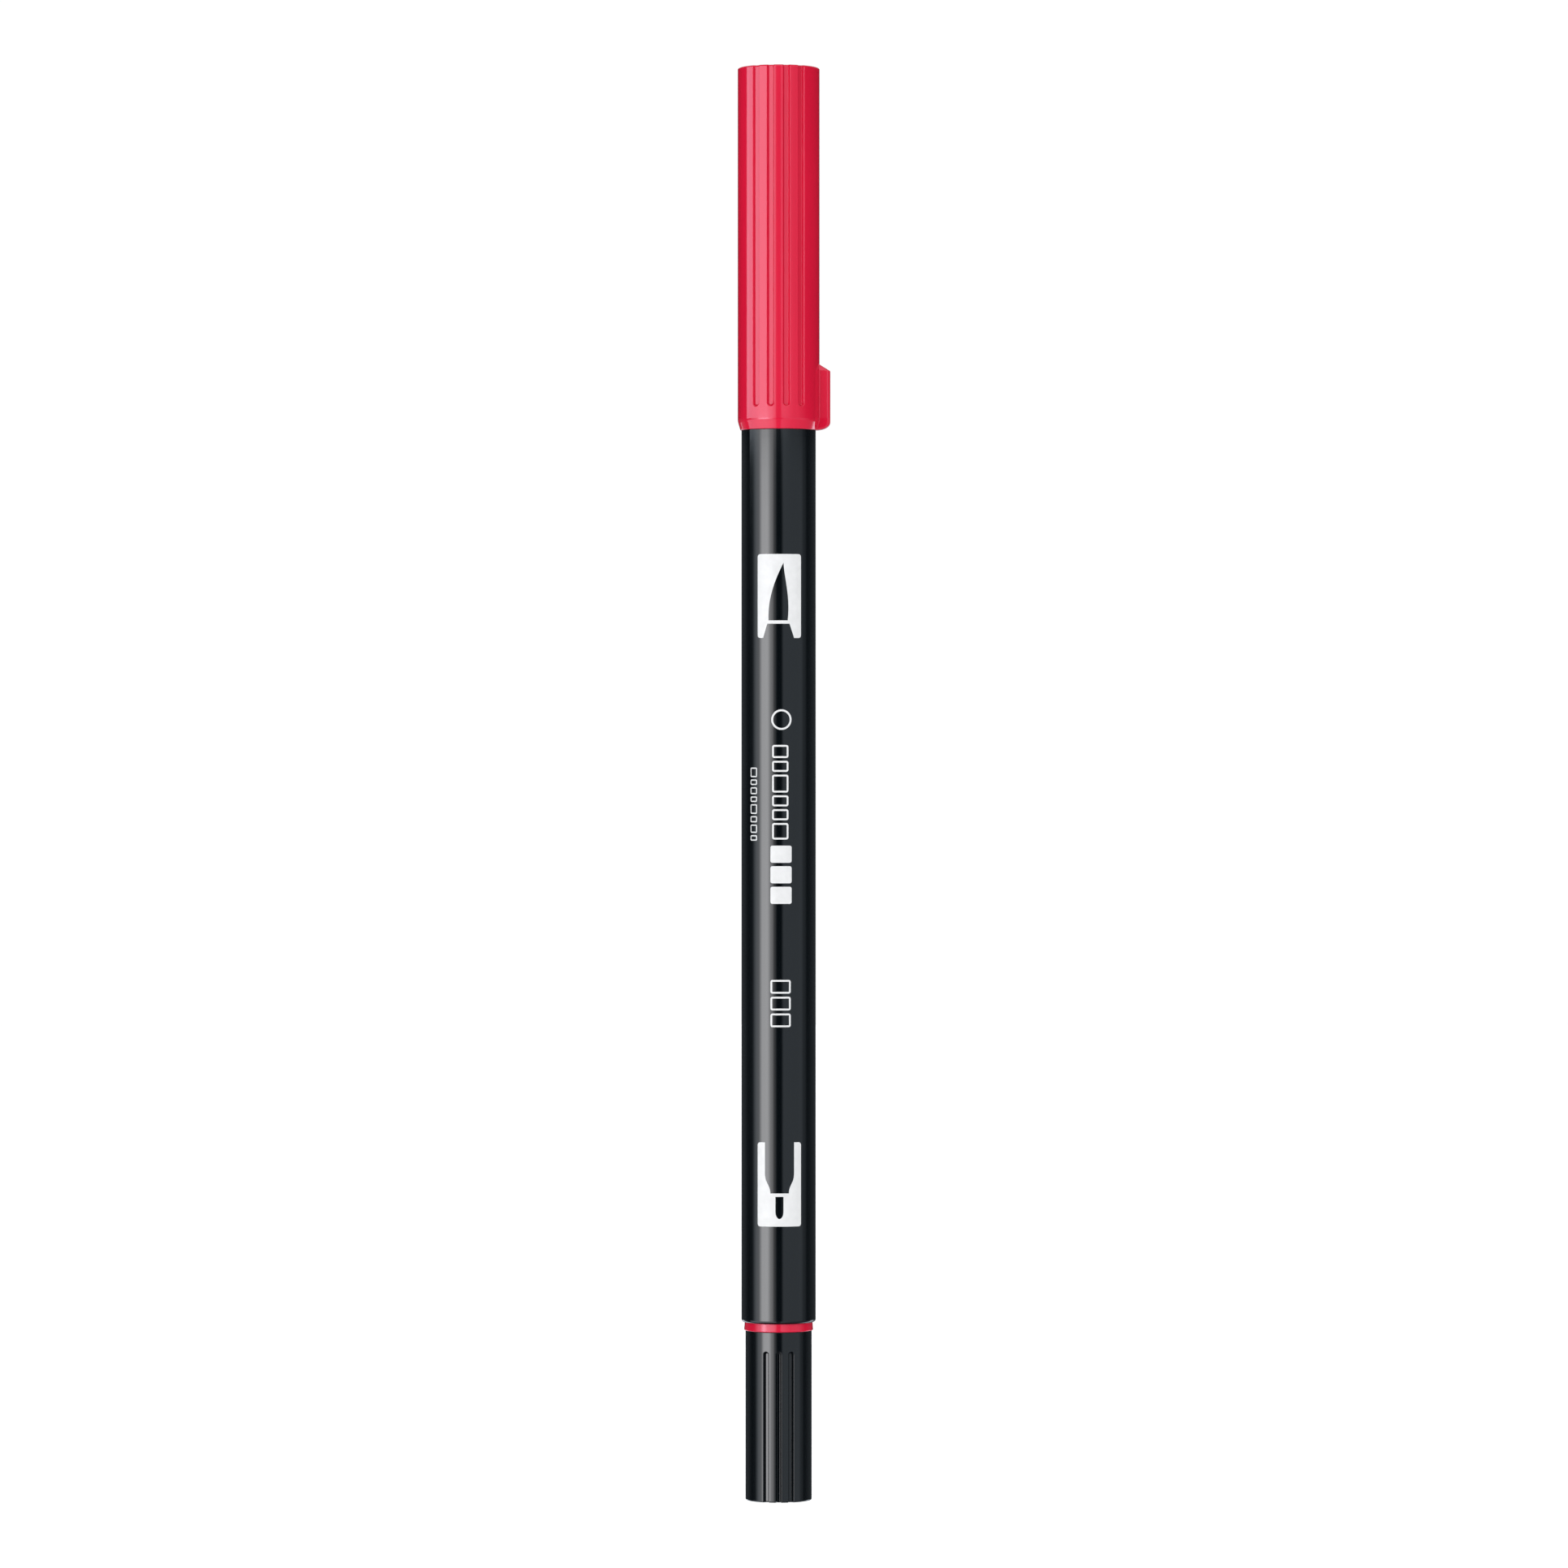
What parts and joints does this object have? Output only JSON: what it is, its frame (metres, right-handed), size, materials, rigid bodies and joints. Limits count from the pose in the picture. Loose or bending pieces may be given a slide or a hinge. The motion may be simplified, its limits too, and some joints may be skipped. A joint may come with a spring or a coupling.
{
  "type": "brush pen",
  "caption": "Twin-tip brush pen: a long fluted cap with an anti-roll lug covers the brush tip, and a short fluted cap covers the fine tip of a straight round barrel.",
  "frame": {"origin": "centre of the fine cap's flat end face, on the pen's axis", "axes": "+Z along the pen from the fine cap to the brush cap, +X towards the anti-roll lug, -Y the printed front"},
  "size_m": [0.0136, 0.012, 0.21],
  "materials": {
    "barrel_plastic": "glossy black moulded plastic",
    "cap_plastic": "glossy crimson moulded plastic",
    "section_plastic": "satin black moulded plastic",
    "brush_fibre": "ink-soaked fibre tip",
    "nib_plastic": "ink-stained plastic rod tip",
    "ink_fibre": "ink-soaked fibre bundle",
    "clear_film": "clear film",
    "liner_plastic": "natural moulded plastic"
  },
  "bodies": {
    "barrel": {"barrel": "barrel_plastic", "ink_reservoir": "ink_fibre", "reservoir_film": "clear_film", "brush_section": "section_plastic", "brush_nib": "brush_fibre", "colour_ring": "cap_plastic", "fine_section": "section_plastic", "fine_nib": "nib_plastic"},
    "brush_cap": {"brush_cap": "cap_plastic", "brush_cap_liner": "liner_plastic"},
    "fine_cap": {"fine_cap": "barrel_plastic", "fine_cap_liner": "liner_plastic"}
  },
  "joints": [
    {"name": "brush_cap_pull", "type": "slide", "parent": "barrel", "child": "brush_cap", "axis": [0, 0, 1], "range_m": [0, 0.05]},
    {"name": "fine_cap_pull", "type": "slide", "parent": "barrel", "child": "fine_cap", "axis": [0, 0, -1], "range_m": [0, 0.028]}
  ]
}
